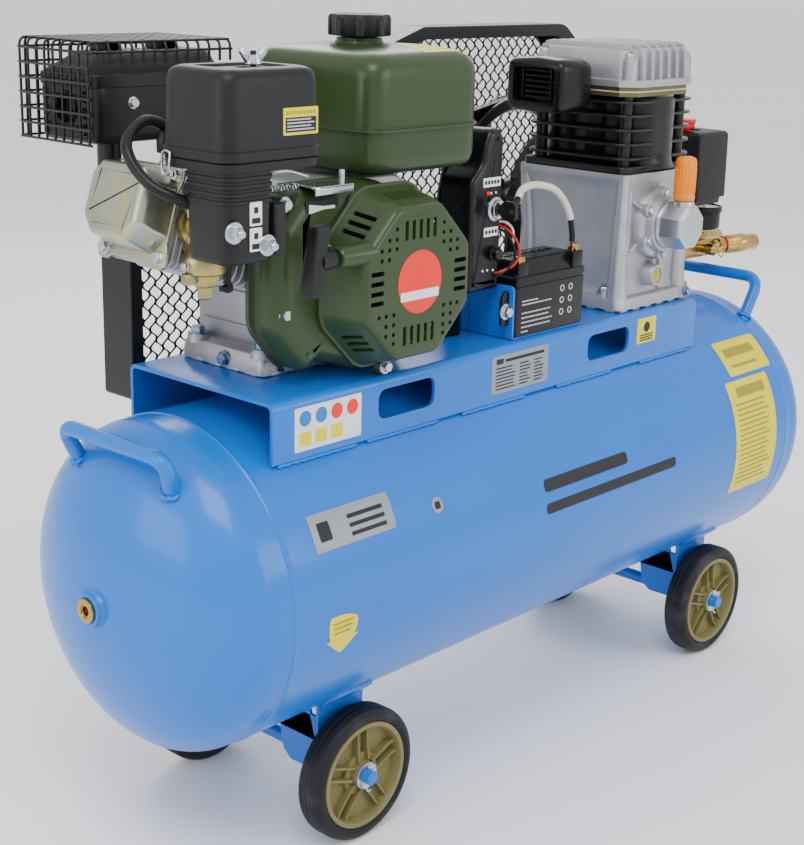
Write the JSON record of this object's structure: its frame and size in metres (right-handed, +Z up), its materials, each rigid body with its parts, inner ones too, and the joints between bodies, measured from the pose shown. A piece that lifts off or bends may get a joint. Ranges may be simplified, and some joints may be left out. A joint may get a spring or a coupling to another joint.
{
  "type": "engine driven air compressor",
  "caption": "Wheeled horizontal air receiver with a petrol engine driving a belt-coupled piston pump, with guard, battery start, handles and outlet manifold.",
  "frame": {"origin": "on the floor under the middle of the overall box; the receiver axis is above it", "axes": "+X along the receiver towards the outlet manifold, -Y towards the recoil starter side, +Z up"},
  "size_m": [1.164, 0.35, 0.861],
  "materials": {
    "blue_paint": "bright blue gloss paint",
    "green_paint": "dark green gloss paint",
    "tank_green": "olive green gloss paint",
    "black_paint": "black satin paint",
    "black_plastic": "charcoal moulded plastic",
    "black_rubber": "black hose rubber",
    "tyre_rubber": "black solid tyre",
    "khaki_plastic": "khaki moulded plastic",
    "cast_aluminium": "as-cast aluminium",
    "black_iron": "black painted iron",
    "bright_steel": "bright steel",
    "zinc_steel": "yellow passivated zinc",
    "brass": "turned brass",
    "orange_plastic": "orange plastic",
    "red_plastic": "red plastic",
    "cable_sleeve": "white cable sleeve"
  },
  "bodies": {
    "frame": {"tank": "blue_paint", "platform": "blue_paint", "handle_left": "blue_paint", "handle_right": "blue_paint", "axle_bracket_left": "blue_paint", "axle_bracket_right": "blue_paint", "axle_left": "blue_paint", "axle_right": "blue_paint", "battery_tray": "blue_paint", "tank_plug": "brass", "outlet_manifold": "brass", "engine_block": "cast_aluminium", "cylinder_head": "cast_aluminium", "pump_crankcase": "cast_aluminium", "pump_head": "cast_aluminium", "bearing_cap": "cast_aluminium", "discharge_pipe": "cast_aluminium", "rocker_cover": "zinc_steel", "carburettor": "zinc_steel", "fan_shroud": "green_paint", "recoil_cover": "green_paint", "fuel_tank": "tank_green", "air_cleaner_cover": "black_plastic", "air_cleaner_body": "black_plastic", "control_panel": "black_plastic", "pump_intake_filter": "black_plastic", "breather_hose": "black_rubber", "drive_belt": "black_rubber", "pump_cylinder": "black_iron", "muffler": "black_paint", "muffler_cage": "black_paint", "belt_guard": "black_paint", "pressure_switch": "black_paint", "pressure_gauge": "black_paint", "battery": "black_paint", "oil_breather": "orange_plastic", "battery_cable": "cable_sleeve"},
    "wheel_left_front": {"tyre_left_front": "tyre_rubber", "rim_left_front": "khaki_plastic"},
    "wheel_left_back": {"tyre_left_back": "tyre_rubber", "rim_left_back": "khaki_plastic"},
    "wheel_right_front": {"tyre_right_front": "tyre_rubber", "rim_right_front": "khaki_plastic"},
    "wheel_right_back": {"tyre_right_back": "tyre_rubber", "rim_right_back": "khaki_plastic"},
    "pump_crank": {"pump_crankshaft": "bright_steel", "pump_flywheel": "black_iron"},
    "engine_crank": {"engine_crankshaft": "bright_steel", "engine_pulley": "black_iron", "cooling_fan": "black_iron"},
    "recoil_grip": {"recoil_handle": "black_plastic", "recoil_rope": "black_rubber"},
    "cap": {"fuel_cap": "black_plastic"},
    "filter_nut": {"wing_nut": "bright_steel"},
    "key": {"ignition_key": "black_plastic"},
    "choke": {"choke_lever": "black_plastic"},
    "fuel_tap": {"fuel_tap_lever": "black_paint"},
    "throttle": {"throttle_lever": "bright_steel"},
    "unloader": {"switch_knob": "red_plastic"},
    "drain": {"drain_valve": "brass"}
  },
  "joints": [
    {"name": "wheel_left_front_spin", "type": "hinge", "parent": "frame", "child": "wheel_left_front", "pos_m": [-0.323, -0.124, 0.075], "axis": [0, 1, 0], "continuous": true},
    {"name": "wheel_left_back_spin", "type": "hinge", "parent": "frame", "child": "wheel_left_back", "pos_m": [-0.323, 0.124, 0.075], "axis": [0, 1, 0], "continuous": true},
    {"name": "wheel_right_front_spin", "type": "hinge", "parent": "frame", "child": "wheel_right_front", "pos_m": [0.364, -0.124, 0.075], "axis": [0, 1, 0], "continuous": true},
    {"name": "wheel_right_back_spin", "type": "hinge", "parent": "frame", "child": "wheel_right_back", "pos_m": [0.364, 0.124, 0.075], "axis": [0, 1, 0], "continuous": true},
    {"name": "pump_crank_spin", "type": "hinge", "parent": "frame", "child": "pump_crank", "pos_m": [0.232, 0.141, 0.608], "axis": [0, 1, 0], "continuous": true},
    {"name": "engine_crank_spin", "type": "hinge", "parent": "frame", "child": "engine_crank", "pos_m": [-0.269, 0.141, 0.608], "axis": [0, 1, 0], "continuous": true},
    {"name": "recoil_pull", "type": "slide", "parent": "frame", "child": "recoil_grip", "axis": [-1, 0, 0], "range_m": [0, 0.038], "stiffness_N_per_m": 150, "springref_m": -0.01},
    {"name": "fuel_cap_turn", "type": "hinge", "parent": "frame", "child": "cap", "pos_m": [-0.208, 0, 0.85], "axis": [0, 0, 1], "range_deg": [0, 90]},
    {"name": "wing_nut_turn", "type": "hinge", "parent": "frame", "child": "filter_nut", "pos_m": [-0.4505, -0.104, 0.83], "axis": [0, 0, 1], "continuous": true},
    {"name": "ignition_key_turn", "type": "hinge", "parent": "frame", "child": "key", "pos_m": [-0.072, -0.09, 0.653], "axis": [0, 1, 0], "range_deg": [0, 90]},
    {"name": "choke_lever_turn", "type": "hinge", "parent": "frame", "child": "choke", "pos_m": [-0.45, -0.06625, 0.665], "axis": [0, 0, 1], "range_deg": [-35, 0]},
    {"name": "fuel_tap_turn", "type": "hinge", "parent": "frame", "child": "fuel_tap", "pos_m": [-0.452, -0.066, 0.613], "axis": [1, 0, 0], "range_deg": [0, 60]},
    {"name": "throttle_lever_turn", "type": "hinge", "parent": "frame", "child": "throttle", "pos_m": [-0.345, -0.087, 0.704], "axis": [0, 0, 1], "range_deg": [-20, 15]},
    {"name": "unloader_knob_pull", "type": "slide", "parent": "frame", "child": "unloader", "axis": [0, 0, 1], "range_m": [0, 0.008]},
    {"name": "drain_valve_turn", "type": "hinge", "parent": "frame", "child": "drain", "pos_m": [0, 0, 0.11], "axis": [0, 0, 1], "range_deg": [0, 180]}
  ],
  "couplings": [
    {"joint": "engine_crank_spin", "follows": "pump_crank_spin", "ratio": 3.1176}
  ]
}
